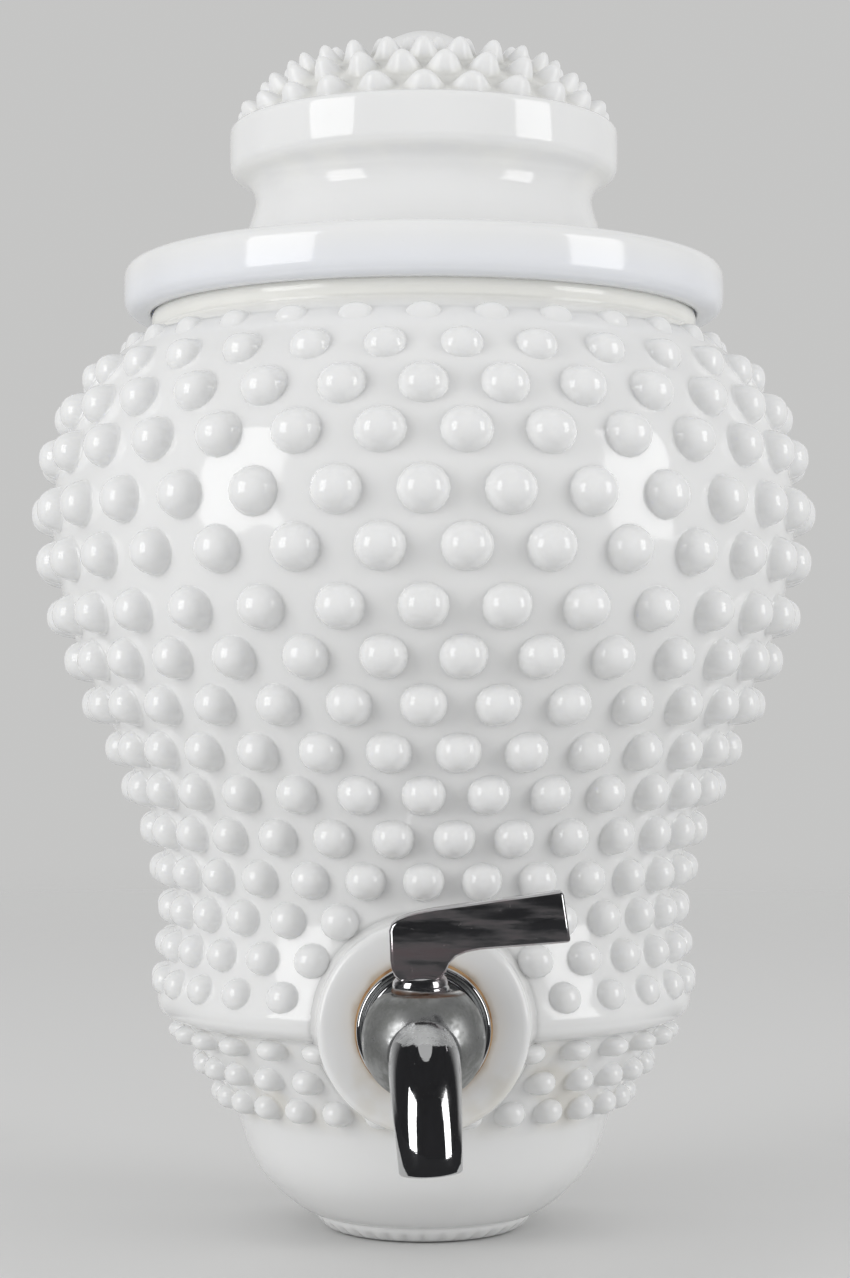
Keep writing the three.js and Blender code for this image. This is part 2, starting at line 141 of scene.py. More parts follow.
def flatBack(verts, back, rounding):
    # presses what lies behind a plane on to it, with a rounded edge
    for vert in verts:
        past = vert.co.y - (back - rounding)
        if past > 0:
            vert.co.y = back - rounding * exp(-past / rounding)


def roundHole(bm, height, radius, facing, cell, sides=32):
    # cuts a round hole through faces of about a cell on one side of the urn, returns its edges
    def fromHole(place):
        return place.x, place.y, place.z - height

    near = []
    for face in bm.faces:
        x, y, z = fromHole(face.calc_center_median())
        if y * facing > 0 and hypot(x, z) < radius + cell:
            near.append(face)
    for side in range(sides):
        angle = 2 * pi * side / sides
        outward = Vector((cos(angle), 0, sin(angle)))
        touched, rest = [], []
        for face in near:
            x, _, z = fromHole(face.calc_center_median())
            turn = abs((atan2(z, x) - angle + pi) % (2 * pi) - pi)
            beside = turn < pi / sides + cell / radius and hypot(x, z) > radius - cell
            (touched if beside else rest).append(face)
        geom = [part for face in touched for part in (face, *face.edges, *face.verts)]
        cut = bmesh.ops.bisect_plane(bm, geom=list(dict.fromkeys(geom)), dist=cutGap,
                                     plane_co=Vector((0, 0, height)) + outward * radius,
                                     plane_no=outward)
        near = rest + pick(cut["geom"], bmesh.types.BMFace)
    corner = radius / cos(pi / sides) + 2 * sameLevel

    def inHole(vert):
        x, y, z = fromHole(vert.co)
        return y * facing > 0 and hypot(x, z) < corner

    inside = [face for face in near if all(inHole(vert) for vert in face.verts)]
    bmesh.ops.delete(bm, geom=inside, context="FACES")
    return [edge for edge in openEdges(bm) if all(inHole(vert) for vert in edge.verts)]


def extrudeRing(bm, edges, place):
    # extrudes a loop of edges and moves each new point to where place puts it
    made = bmesh.ops.extrude_edge_only(bm, edges=edges)["geom"]
    for vert in pick(made, bmesh.types.BMVert):
        vert.co = place(vert.co)
    return pick(made, bmesh.types.BMEdge)


def addObject(name, data):
    made = bpy.data.objects.new(name, data)
    bpy.context.scene.collection.objects.link(made)
    return made


def addMesh(bm, name, finish):
    mesh = bpy.data.meshes.new(name)
    bm.to_mesh(mesh)
    bm.free()
    mesh.materials.append(finish)
    return addObject(name, mesh)


def finishPiece(bm, name, body, slot, finish, replaced, transform=toFrame, sharpAngle=None):
    bmesh.ops.transform(bm, matrix=transform, verts=bm.verts)
    for face in bm.faces:
        face.smooth = True
    for edge in bm.edges if sharpAngle else ():
        if len(edge.link_faces) == 2 and edge.calc_face_angle() > radians(sharpAngle):
            edge.smooth = False
    piece = addMesh(bm, name, finish)
    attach(piece, body)
    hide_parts(*replaced)
    piece.data.calc_loop_triangles()
    print("piece", name, len(piece.data.loop_triangles), "triangles")


# shader maths

class Wire:
    # a node socket that can stand in sums
    def __init__(self, tree, socket):
        self.tree = tree
        self.socket = socket

    def node(self, kind, settings, inputs, output=0):
        made = self.tree.nodes.new(kind)
        for name, setting in settings.items():
            setattr(made, name, setting)
        for place, given in inputs.items():
            if isinstance(given, Wire):
                self.tree.links.new(given.socket, made.inputs[place])
            else:
                made.inputs[place].default_value = given
        return Wire(self.tree, made.outputs[output])

    def maths(self, operation, *given):
        return self.node("ShaderNodeMath", {"operation": operation}, dict(enumerate(given)))

    def __add__(self, other):
        return self.maths("ADD", self, other)

    def __sub__(self, other):
        return self.maths("SUBTRACT", self, other)

    def __rsub__(self, other):
        return self.maths("SUBTRACT", other, self)

    def __mul__(self, other):
        return self.maths("MULTIPLY", self, other)

    def __truediv__(self, other):
        return self.maths("DIVIDE", self, other)

    def __pow__(self, other):
        return self.maths("POWER", self, other)

    __radd__ = __add__
    __rmul__ = __mul__

    def axis(self, index):
        return self.node("ShaderNodeSeparateXYZ", {}, {0: self}, index)

    def span(self, other):
        # distance from the line where both are 0
        return (self * self + other * other) ** 0.5

    def ease(self, low, high):
        # 0 below low, 1 above high, smooth between
        return self.node("ShaderNodeMapRange", {"interpolation_type": "SMOOTHSTEP"},
                         {"Value": self, "From Min": low, "From Max": high})

    def band(self, rising, falling):
        # 1 between two edges, each given as the pair of values it runs over
        return self.ease(*rising) * (1 - self.ease(*falling))

    def cloud(self, scale, detail=2.0, rough=0.5, stretch=(1, 1, 1)):
        spread = self.node("ShaderNodeMapping", {}, {"Vector": self, "Scale": stretch})
        return self.node("ShaderNodeTexNoise", {}, {"Vector": spread, "Scale": scale,
                                                    "Detail": detail, "Roughness": rough})

    def tint(self, mask, colour, strength=1.0):
        # this colour turned towards another where the mask is high
        return self.node("ShaderNodeMix", {"data_type": "RGBA"},
                         {0: mask * strength, 6: self, 7: (*colour, 1)}, 2)


def newFinish(name, constants):
    material = bpy.data.materials.new(name)
    material.use_nodes = True
    tree = material.node_tree
    shader = tree.nodes["Principled BSDF"]
    for socket, value in constants.items():
        shader.inputs[socket].default_value = value
    coords = Wire(tree, tree.nodes.new("ShaderNodeTexCoord").outputs["Object"])
    return material, shader, coords


def feed(shader, **wires):
    for name, wire in wires.items():
        wire.tree.links.new(wire.socket, shader.inputs[name.replace("_", " ")])


def plainColour(coords, colour):
    # a colour socket to start a chain of tints from
    return coords.node("ShaderNodeMix", {"data_type": "RGBA"},
                       {0: 0.0, 6: (*colour, 1), 7: (*colour, 1)}, 2)


def bumpOf(coords, height, distance, strength=1.0, under=None):
    # a bump, on top of another if one is given
    inputs = {"Height": height, "Distance": distance, "Strength": strength}
    if under:
        inputs["Normal"] = under
    return coords.node("ShaderNodeBump", {}, inputs)


# milk glass

glass = {
    "colour": (0.79, 0.793, 0.793), "shade": (0.762, 0.765, 0.762),
    # cream is lighter than the glass and on the urn's rim partly painted light; dust also darkens
    # the lid's valleys as painted shade
    "cream": (0.885, 0.882, 0.838), "lilac": (0.745, 0.77, 0.835), "dust": (0.66, 0.655, 0.6),
    "haze": (0.72, 0.66, 0.55), "grime": (0.43, 0.335, 0.215), "limescale": (0.6, 0.55, 0.44),
    "roughness": 0.07, "smearDull": 0.05, "domeDull": 0.24,
    "subsurface": 0.25, "glow": (0.9, 0.92, 1.0), "glowDepth": 0.004,
    "ripple": 0.00035, "speckHeight": 0.00004,
    # where tints lie, in metres of the frame: each edge is the pair of values it fades between
    "dome": (0.1478, 0.1488), "valleyDustAndShade": ((0.1476, 0.1492), (0.1625, 0.164)),
    "flangeEdge": (0.1035, 0.112), "band": ((0.128, 0.135), (0.135, 0.1375)),
    "roundFront": (-0.006, -0.002), "rim": (0.094, 0.099),
    "lowRows": ((-0.094, -0.088), (-0.076, -0.066)), "bossFace": (-0.0925, -0.0915),
    "belowOrigin": 0.065, "wobble": 0.004,  # the tap's axis, and how ragged its stains are
    "grimeEdge": (0.015, 0.0168), "hazeEdge": (0.0155, 0.0195),
}


def lidTints(coords, colour, knob):
    # dust and painted shade darkening the valleys between the peaks, a cooler edge of the flange
    # and a creamy band
    height = coords.axis(2)
    # the valleys between the peaks take the dust colour: dust, and painted shade where the peaks
    # shade them
    valleyDustAndShade = (1 - knob.ease(0.0, 0.4)) * height.band(*glass["valleyDustAndShade"])
    colour = colour.tint(valleyDustAndShade, glass["dust"], 0.4)
    colour = colour.tint(1 - height.ease(*glass["flangeEdge"]), glass["lilac"], 0.5)
    cream = height.band(*glass["band"]) * coords.cloud(60, 3).ease(0.4, 0.6)
    return colour.tint(cream, glass["cream"], 0.35)


def urnTints(coords, colour, knob):
    across, forward, height = (coords.axis(index) for index in range(3))
    front = 1 - forward.ease(*glass["roundFront"])
    # the front of the rim turned a lighter cream: partly its own cream tone, partly painted light
    # standing in for the light that reaches it under the lid's flange
    colour = colour.tint(height.ease(*glass["rim"]) * front, glass["cream"], 0.8)
    # rust and scale that the tap's leaks have left round its gasket
    around = across.span(height + glass["belowOrigin"])
    wobble = (coords.cloud(190, 4) - 0.5) * glass["wobble"]
    onFace = 1 - forward.ease(*glass["bossFace"])
    grime = (1 - (around + wobble * 0.6).ease(*glass["grimeEdge"])) * onFace
    haze = (1 - (around + wobble).ease(*glass["hazeEdge"])) * onFace
    colour = colour.tint(haze, glass["haze"], 0.22).tint(grime, glass["grime"], 0.5)
    # faint limescale in the valleys of the lowest rows
    low = height.band(*glass["lowRows"]) * front
    scale = low * (1 - knob.ease(0.02, 0.3)) * coords.cloud(55, 4).ease(0.45, 0.62)
    return colour.tint(scale, glass["limescale"], 0.35)


def milkGlassFinish(name, isLid):
    material, shader, coords = newFinish(name, {
        "Subsurface Weight": glass["subsurface"], "Subsurface Radius": glass["glow"],
        "Subsurface Scale": glass["glowDepth"], "IOR": 1.5, "Specular IOR Level": 0.5,
    })
    mottle = coords.cloud(28, 3).ease(0.38, 0.68)
    colour = plainColour(coords, glass["colour"]).tint(mottle, glass["shade"], 0.55)
    knob = coords.node("ShaderNodeAttribute", {"attribute_name": "knob"}, {}, "Fac")
    smear = coords.cloud(45, 4, 0.6, stretch=(1, 1, 0.35)).ease(0.4, 0.7)
    roughness = glass["roughness"] + smear * glass["smearDull"]
    if isLid:
        colour = lidTints(coords, colour, knob)
        roughness = roughness + coords.axis(2).ease(*glass["dome"]) * glass["domeDull"]
    else:
        colour = urnTints(coords, colour, knob)
    ripple = bumpOf(coords, coords.cloud(34, 1.5), glass["ripple"])
    specks = coords.cloud(1400, 2).ease(0.72, 0.8)
    feed(shader, Base_Color=colour, Roughness=roughness,
         Normal=bumpOf(coords, specks, glass["speckHeight"], 0.5, ripple))
    return material


urnFinish = milkGlassFinish("milk_glass_urn", False)
lidFinish = milkGlassFinish("milk_glass_lid", True)


# rows of hobs, made as square tiles with rings of points round each hob

hobs = {
    "tileShare": 0.98,  # most of its tile's half height that a hob's outermost ring takes
    "evenness": 0.9,  # how far a hob's shape forgets the wall's own curve
    "slopeReach": 0.4,  # the wall's slope is taken between two places this far to each side
}


def markedCurve(outline, step):
    # a smooth outline, its points' distances, the place at any distance, and the distance at
    # each height that the outline gives
    points, kept = smoothCurve(outline, step)
    along = [0.0]
    for low, high in zip(points, points[1:]):
        along.append(along[-1] + dist(low, high))

    def placeAt(distance):
        index = min(max(bisect.bisect_right(along, distance) - 1, 0), len(points) - 2)
        part = (distance - along[index]) / (along[index + 1] - along[index])
        return tuple(Vector(points[index]).lerp(Vector(points[index + 1]), part))

    return points, along, placeAt, {mark[1]: along[index] for mark, index in zip(outline, kept)}


def between(points, along, low, high):
    return [point for point, distance in zip(points, along) if low < distance < high]


def squarePlace(angle):
    # the point of a square's edge that belongs to an angle, with the points spaced evenly
    side, along = divmod(degrees(angle) % 360 / 45 + 1, 2)
    along -= 1
    return ((1, along), (-along, 1), (-1, -along), (along, -1))[int(side) % 4]


def hobTile(ringCount):
    # a fan of 16 triangles with rings of faces round it, each point at its ring's number
    bm = newMesh()
    bmesh.ops.create_circle(bm, cap_ends=True, cap_tris=True, segments=16, radius=1)
    edges = openEdges(bm)
    for count in range(1, ringCount + 1):
        edges = extrudeRing(bm, edges, lambda co, grow=(count + 1) / count: co * grow)
    return bm


def hobRow(placeAt, low, middle, high, row, offset, piece, skipped):
    # one row: a tile laid on the wall, copied round the axis, then its hobs raised
    _, halfWidth, halfHeight, rise, corner = row
    rings = piece["hobRings"]
    bm = hobTile(len(rings))
    knob = bm.verts.layers.float["knob"]
    radius, height = placeAt(middle)
    step = 2 * pi / piece["perTurn"]
    for vert in bm.verts:
        ring = round(vert.co.xy.length)
        angle = atan2(vert.co.y, vert.co.x)
        if ring > len(rings):
            across, up = squarePlace(angle)
            across *= step / 2
            up *= high - middle if up > 0 else middle - low
        else:
            size, share = (0, 1) if ring == 0 else rings[ring - 1]
            c, s = cos(angle), sin(angle)
            size /= (abs(c) ** corner + abs(s) ** corner) ** (1 / corner)
            room = (high - middle if s > 0 else middle - low) * hobs["tileShare"] / rings[-1][0]
            across = size * c * halfWidth / radius
            up = size * s * min(halfHeight, room)
            vert[knob] = share
        around, level = placeAt(middle + up)
        turn = across + offset * step
        vert.co = (around * sin(turn), -around * cos(turn), level)
    copyRound(bm, step, piece["perTurn"] - 1)
    above = Vector(placeAt(middle + hobs["slopeReach"]))
    slope = (above - Vector(placeAt(middle - hobs["slopeReach"]))).normalized()
    lean = Vector((slope.y, -slope.x * piece["lean"])).normalized()
    for vert in bm.verts:
        if vert[knob] > 0:
            turn = (round(atan2(vert.co.x, -vert.co.y) / step - offset) + offset) * step
            if skipped(row, radius, height, turn):
                vert[knob] = 0
            else:
                outward = Vector((sin(turn) * lean.x, -cos(turn) * lean.x, lean.y))
                root = Vector((sin(turn) * radius, -cos(turn) * radius, height))
                already = (vert.co - root).dot(outward) * hobs["evenness"]
                vert.co += outward * (rise - already) * vert[knob]
    return bm


def hobRows(placeAt, marks, rows, start, end, firstOffset, piece, skipped):
    # rows between two distances along an outline, each tile ending half way to the next row
    middles = [marks[row[0]] for row in rows]
    limits = [start, *[(low + high) / 2 for low, high in zip(middles, middles[1:])], end]
    made = []
    for index, (low, middle, high, row) in enumerate(zip(limits, middles, limits[1:], rows)):
        offset = (firstOffset + index) % 2 / 2
        made.append(hobRow(placeAt, low, middle, high, row, offset, piece, skipped))
    return made


def plainTurn(points, piece):
    # a stretch of wall without hobs, in four columns to a hob as the tiles have
    return turnOutline(points, piece["perTurn"] // 2, 8)


# urn

urn = {
    "foot": [(18.6, 2.3), (19.6, 1.8), (20.2, 0.6), (21.2, 0.1), (22.4, 0), (23.5, 0.35),
             (24.6, 1.05), (25.5, 1.9), (26.1, 2.7), (26.35, 3.4), (26.3, 3.8)],
    "bowl": [(27.6, 4.1), (29.6, 5.1), (32.2, 6.9), (35.2, 9.4), (39.2, 13.6), (41.9, 18.2),
             (43.8, 23.5), (45, 27.2), (45.3, 28)],
    "wall": [(45.3, 28), (47.8, 33.2), (52.4, 40.6), (58, 48.5), (59.4, 50.6)],
    "ledge": [(59.4, 50.6), (61.8, 51.4), (63.7, 52.7), (64.6, 54.6), (64.7, 57), (63.3, 60.8),
              (61.5, 69.2), (60.7, 78), (62.3, 87.2), (64.8, 96.8), (68.9, 106.6), (73, 116),
              (78.2, 126.4), (82.6, 136.9), (86.5, 147.6), (89.3, 160.4), (90.2, 172.6),
              (88.8, 185.6), (85.1, 195.9), (80, 205.3), (72.2, 213.2), (66.1, 217.2)],
    "rim": [(66.1, 217.2), (65.7, 217.7), (66.1, 218.3), (66.55, 219.3), (66.65, 220.4),
            (66.5, 221.4), (66.25, 222.5), (65.8, 223.8), (64.9, 224.7), (63.4, 225)],
    # rows of hobs from the bottom: height, half width, half height, rise, 2 for round
    "lowRows": [(33.2, 3.6, 3.3, 4, 2.1), (40.6, 3.7, 3.3, 4.1, 2.1), (48.5, 3.8, 3.3, 4.2, 2.1)],
    "highRows": [(60.8, 3.9, 3.5, 3.2, 2.1), (69.2, 4.15, 3.75, 4, 2.1),
                 (78, 4.3, 4, 4.4, 2.1), (87.2, 4.4, 4.2, 4.6, 2.1),
                 (96.8, 4.5, 4.4, 4.7, 2.15), (106.6, 4.65, 4.6, 4.8, 2.15),
                 (116, 4.85, 4.8, 4.9, 2.15), (126.4, 4.95, 4.9, 5, 2.1),
                 (136.9, 5.1, 5, 5.1, 2.05), (147.6, 5.3, 5, 5.2, 2.1),
                 (160.4, 5.45, 5.2, 5.2, 2), (172.6, 5.5, 5.3, 5.2, 2),
                 (185.6, 5.5, 5.2, 5.1, 2), (195.9, 5.25, 4.95, 4.9, 2),
                 (205.3, 4.5, 4.3, 3.6, 2.1), (213.2, 3.7, 3.2, 1.8, 2.1)],
    # from the lowest row down, from the ledge's top edge up, and from the highest row up
    "belowRows": 4, "ledgeTop": 57, "aboveRows": 4.5, "endGap": 0.4,
    "bossRows": 3, "hangRows": 12,  # high rows that meet the boss, and the first one by the hole
    # rings of points on a hob from the top out: share of its size, share of its rise
    "hobRings": [(0.32, 0.963), (0.58, 0.85), (0.79, 0.65), (0.93, 0.395), (1, 0.165),
                 (1.05, 0), (1.08, 0)],
    # how far a hob follows the wall's slope: 0 straight out, 1 square to the wall
    "lean": 0.2, "perTurn": 30, "cell": 1.14,
    "back": 30, "backEdge": 1.6, "wallThickness": 5,
    "floor": 9.5, "floorRings": [2, 14, 26], "insideFrom": 12, "insideTo": 214, "insideCell": 3.4,
    "mouth": [(60, 221.5), (60, 223.6), (60.6, 224.6), (61.6, 225)],
    "bossHeight": 55, "bossRadius": 23.9, "bossForward": 64, "bossEdgeDepth": 4,
    "seatRadius": 17.5, "seatForward": 53, "shankHole": 8.3, "hangHeight": 200,
    # rings of the hanging hole from the back in: radius and depth
    "hangRings": [(5.8, 0), (5.25, 0.25), (5, 0.8), (5, 3.5)],
    # rings of the boss from under the wall's face to the hole: radius, share of its depth,
    # drop below its face
    "bossRings": [(25.9, -0.06, 0), (25, 0.03, 0), (24.5, 0.09, 0), (24.15, 0.18, 0),
                  (23.95, 0.3, 0), (23.75, 1, 1.6), (23.55, 1, 0.9), (23.15, 1, 0.42),
                  (22.6, 1, 0.15), (21.9, 1, 0.03), (19.5, 1, 0), (15, 1, 0), (8.3, 1, 0),
                  (8.3, 1, 6)],
    # flutes round the foot: they deepen outwards from the rest and end below their top
    "flutes": 36, "fluteDepth": 0.75, "footRest": 22.4, "fluteTop": 2.9,
}


def skippedHob(row, radius, height, turn):
    # none on the flat back or on the boss, whose side cuts the lowest rows
    x, y = radius * sin(turn), -radius * cos(turn)
    toBoss = hypot(x, height - urn["bossHeight"])
    cutRow = height < urn["ledgeTop"]
    room = urn["bossRadius"] + (-1.0 if cutRow else row[1] * 0.95)
    return y > urn["back"] - row[1] or (y < 0 and toBoss < room)


def fluteFoot(bm):
    for vert in bm.verts:
        radius = vert.co.xy.length
        out = radius - urn["footRest"]
        if out > 0.2:
            turn = atan2(vert.co.x, -vert.co.y)
            hollow = (0.5 + 0.5 * cos(urn["flutes"] * turn)) ** 1.5
            fade = min(1, out / 1.2) * min(1, max(0, (urn["fluteTop"] - vert.co.z) / 1.6))
            vert.co.xy *= 1 - urn["fluteDepth"] * hollow * fade / radius


def wallRadius(outline, height):
    for low, high in zip(outline, outline[1:]):
        if low[1] <= height <= high[1] and high[1] > low[1]:
            return low[0] + (high[0] - low[0]) * (height - low[1]) / (high[1] - low[1])
    return outline[-1][0]


def buildBoss(outline):
    # a ring of glass whose outer edge lies just under the wall's face
    centre, face, edgeDepth = urn["bossHeight"], urn["bossForward"], urn["bossEdgeDepth"]

    def bossPlace(radius, share, drop):
        def place(co):
            angle = atan2(co.z - centre, co.x)
            x, z = radius * cos(angle), radius * sin(angle)
            foot = sqrt(max(0, wallRadius(outline, centre + z) ** 2 - x**2))
            depth = max(face - foot, 0.4)
            # the rounded edge gets lower where the boss's side does, but the hole doesn't
            lower = drop if drop > edgeDepth else min(drop, depth * drop / edgeDepth)
            forward = foot + depth * share if share < 1 else face - lower
            return Vector((x, -forward, centre + z))
        return place

    bm = newMesh()
    made = bmesh.ops.create_circle(bm, cap_ends=False, segments=112, radius=1,
                                   matrix=Matrix.Rotation(pi / 2, 4, "X"))["verts"]
    for vert in made:
        vert.co.z += centre
        vert.co = bossPlace(*urn["bossRings"][0])(vert.co)
    first = edges = bm.edges[:]
    for ring in urn["bossRings"][1:]:
        edges = extrudeRing(bm, edges, bossPlace(*ring))
    bmesh.ops.bridge_loops(bm, edges=first + edges)
    return facesOut(bm)


def buildOutside(bowl, rim):
    # outer wall: plain stretches with rows of tiles between them, the rows in the middle apart
    wall, wallAlong, wallPlace, wallMarks = markedCurve(urn["wall"], urn["cell"])
    ledge, ledgeAlong, ledgePlace, ledgeMarks = markedCurve(urn["ledge"], urn["cell"])
    lowStart = wallMarks[urn["lowRows"][0][0]] - urn["belowRows"]
    highStart = ledgeMarks[urn["ledgeTop"]]
    highEnd = ledgeMarks[urn["highRows"][-1][0]] + urn["aboveRows"]
    lowRows = hobRows(wallPlace, wallMarks, urn["lowRows"], lowStart, wallAlong[-1], 0,
                      urn, skippedHob)
    highRows = hobRows(ledgePlace, ledgeMarks, urn["highRows"], highStart, highEnd, 1,
                       urn, skippedHob)
    gap = urn["endGap"]
    stretches = (
        bowl + between(wall, wallAlong, 0, lowStart - gap) + [wallPlace(lowStart)],
        ledge[:1] + between(ledge, ledgeAlong, 0, highStart - gap) + [ledgePlace(highStart)],
        [ledgePlace(highEnd)] + between(ledge, ledgeAlong, highEnd + gap, inf) + rim[1:],
    )
    plain = [plainTurn(points, urn) for points in stretches]
    for part in (*lowRows, *highRows, *plain):
        flatBack(part.verts, urn["back"], urn["backEdge"])
    low = joinMeshes(plain[0], *lowRows, plain[1], *highRows[:urn["bossRows"]])
    high = joinMeshes(*highRows[urn["hangRows"]:], plain[2])
    outline = bowl + wall[1:] + ledge[1:] + rim[1:]
    return low, highRows[urn["bossRows"]:urn["hangRows"]], high, outline


def cutHangingHole(high):
    def hangPlace(radius, depth):
        def place(co):
            out = Vector((co.x, 0, co.z - urn["hangHeight"])).normalized() * radius
            return out + Vector((0, urn["back"] - depth, urn["hangHeight"]))
        return place

    hang = roundHole(high, urn["hangHeight"], urn["hangRings"][0][0], 1, 8)
    for ring in urn["hangRings"][1:]:
        hang = extrudeRing(high, hang, hangPlace(*ring))


def innerWall(outline):
    # points of the inner wall, square to the outer one
    inner, thickness = [], urn["wallThickness"]
    for before, (radius, height), after in zip(outline, outline[2:], outline[4:]):
        if urn["insideFrom"] < height < urn["insideTo"]:
            slope = (Vector(after) - Vector(before)).normalized()
            place = Vector((radius - slope.y * thickness, height + slope.x * thickness))
            if not inner or (place - Vector(inner[-1])).length > urn["insideCell"]:
                inner.append(tuple(place))
    return [point for point in inner if point[1] > urn["floor"] + 1]


def buildInside(outline):
    # floor, inner wall, flat inside of the back, seat for the nut's washer, and both holes
    floor = [(radius, urn["floor"]) for radius in urn["floorRings"]]
    inside = turnOutline([*floor, *innerWall(outline), *urn["mouth"]], 12, 8)
    flatBack(inside.verts, urn["back"] - urn["wallThickness"], urn["backEdge"])
    for vert in inside.verts:
        near = hypot(vert.co.x, vert.co.z - urn["bossHeight"]) < urn["seatRadius"]
        if near and vert.co.y < -urn["seatForward"]:
            vert.co.y = -urn["seatForward"]
    roundHole(inside, urn["bossHeight"], urn["shankHole"], -1, 6)
    roundHole(inside, urn["hangHeight"], urn["hangRings"][-1][0], 1, 7)
    bmesh.ops.contextual_create(inside, geom=ringEdges(inside, urn["floor"]))
    return inside


def buildUrn():
    foot, _ = smoothCurve(urn["foot"], 0.5)
    bowl, _ = smoothCurve(urn["bowl"], 1.8)
    rim, _ = smoothCurve(urn["rim"], 0.8)
    low, middleRows, high, outline = buildOutside(bowl, rim)
    outline = foot + outline
    roundHole(low, urn["bossHeight"], urn["shankHole"] + 0.3, -1, 6)
    cutHangingHole(high)
    inside = buildInside(outline)
    footPart = turnOutline(foot, 24, 12)
    bmesh.ops.contextual_create(footPart, geom=ringEdges(footPart, foot[0][1]))
    fluteFoot(footPart)

    # foot to bowl, rim to mouth, then the walls of the two holes
    bm = joinMeshes(footPart, low, *middleRows, high, inside)
    bmesh.ops.bridge_loops(bm, edges=ringEdges(bm, foot[-1][1]) + ringEdges(bm, bowl[0][1]))
    bmesh.ops.bridge_loops(bm, edges=ringEdges(bm, outline[-1][1]))
    left = openEdges(bm)
    for inFront in (True, False):
        hole = [edge for edge in left if (edge.verts[0].co.y < 0) == inFront]
        bmesh.ops.bridge_loops(bm, edges=hole)
    facesOut(bm)
    return joinMeshes(bm, buildBoss(outline))


finishPiece(buildUrn(), "urn_body", "urn", "milk_glass", urnFinish, ["urn_glass"])
print("urn made")


# lid

lid = {
    "flange": [(67.2, 221.3), (70.2, 221.3), (71.9, 222), (72.9, 223.3), (73.3, 225),
               (73.3, 230.1), (73.1, 231.5), (72.4, 232.7), (71, 233.5), (68.5, 233.9)],
    "neck": [(68.5, 233.9), (58, 234.1), (51, 234.5), (47.6, 235.6), (45.4, 237.5),
             (43.9, 240.2), (42.8, 244), (41.8, 247.2), (41.3, 249.8), (41.8, 252.2),
             (43.1, 254.1), (45.2, 255.3), (46.7, 256.2), (47.4, 257.5)],
    "band": [(47.4, 257.5), (47.6, 259.4), (47.6, 266.3), (47.4, 267.2), (46.9, 267.7),
             (46.3, 267.5), (45.9, 266.6)],
    "dome": [(45.9, 266.6), (45.2, 266.9), (42.4, 269.7), (36.7, 275.3), (31.4, 279.3),
             (25.8, 281.5), (20.4, 283), (17.6, 283.7), (15.9, 284.4), (14.3, 285.6),
             (12.6, 286.9), (10.7, 288.5), (8.2, 290.2), (4.6, 291.8), (1.5, 292.5)],
    # rows of peaks from the band up, given like the urn's rows, with 1 for a diamond
    "rows": [(269.7, 4.6, 3.9, 4.1, 1.55), (275.3, 4.1, 3.8, 4.7, 1.5),
             (279.3, 3.6, 3.4, 4.8, 1.5), (281.5, 2.8, 2.8, 3.6, 1.5)],
    "belowRows": 3.7, "aboveRows": 3, "endGap": 0.3,
    "hobRings": [(0.22, 0.95), (0.42, 0.835), (0.62, 0.64), (0.81, 0.37), (0.98, 0.12),
                 (1.12, 0)],
    "lean": 1, "perTurn": 24, "cell": 0.9, "back": 29,
    # inside: radius, height, and how far back the ring may go
    "inside": [(66.8, 222, 90), (66.8, 225.2, 90), (59, 225.3, 23.8), (58.8, 224, 23.8),
               (58.8, 217, 23.8), (58.2, 216.4, 23.6), (54.9, 216.4, 19.6), (54.3, 217, 19.3),
               (54.3, 225.6, 19.3), (42, 226.6, 20.5), (38.5, 229, 24), (37, 233, 24),
               (36.2, 247, 24), (34.9, 256, 24), (32.8, 263.6, 24), (28.8, 269, 24),
               (21.8, 273.9, 24), (12.4, 278.1, 24), (2, 279.4, 24)],
    "insideEdge": 0.8,
}


def skippedPeak(row, radius, height, turn):
    return -radius * cos(turn) > lid["back"] - row[1]


def buildLid():
    flange, _ = smoothCurve(lid["flange"], 0.9)
    neck, _ = smoothCurve(lid["neck"], 1.2)
    band, _ = smoothCurve(lid["band"], 0.6)
    dome, along, placeAt, marks = markedCurve(lid["dome"], lid["cell"])
    start = marks[lid["rows"][0][0]] - lid["belowRows"]
    end = marks[lid["rows"][-1][0]] + lid["aboveRows"]
    rows = hobRows(placeAt, marks, lid["rows"], start, end, 0, lid, skippedPeak)
    below = flange + neck[1:] + band[1:]
    below += between(dome, along, 0, start - lid["endGap"]) + [placeAt(start)]
    above = [placeAt(end)] + between(dome, along, end + lid["endGap"], inf)
    outside = joinMeshes(plainTurn(below, lid), *rows, plainTurn(above, lid))
    bmesh.ops.contextual_create(outside, geom=ringEdges(outside, above[-1][1]))

    inside = turnOutline([(radius, height) for radius, height, _ in lid["inside"]], 12, 8)
    bmesh.ops.contextual_create(inside, geom=ringEdges(inside, lid["inside"][-1][1]))
    ring = inside.verts.layers.int["ring"]
    for vert in inside.verts:
        flatBack([vert], lid["inside"][vert[ring]][2], lid["insideEdge"])
    bm = joinMeshes(outside, inside)
    bmesh.ops.bridge_loops(bm, edges=openEdges(bm))
    facesOut(bm)

    # the back is sawn off flat and closed
    bmesh.ops.bisect_plane(bm, geom=bm.verts[:] + bm.edges[:] + bm.faces[:], dist=cutGap,
                           plane_co=(0, lid["back"], 0), plane_no=(0, 1, 0), clear_outer=True)
    cut = openEdges(bm)
    for edge in cut:
        edge.smooth = False
    bmesh.ops.triangle_fill(bm, edges=cut, use_beauty=True, normal=(0, 1, 0))
    return facesOut(bm)


finishPiece(buildLid(), "lid_body", "lid", "milk_glass", lidFinish, ["lid_glass"])
print("lid made")


# metals and rubber

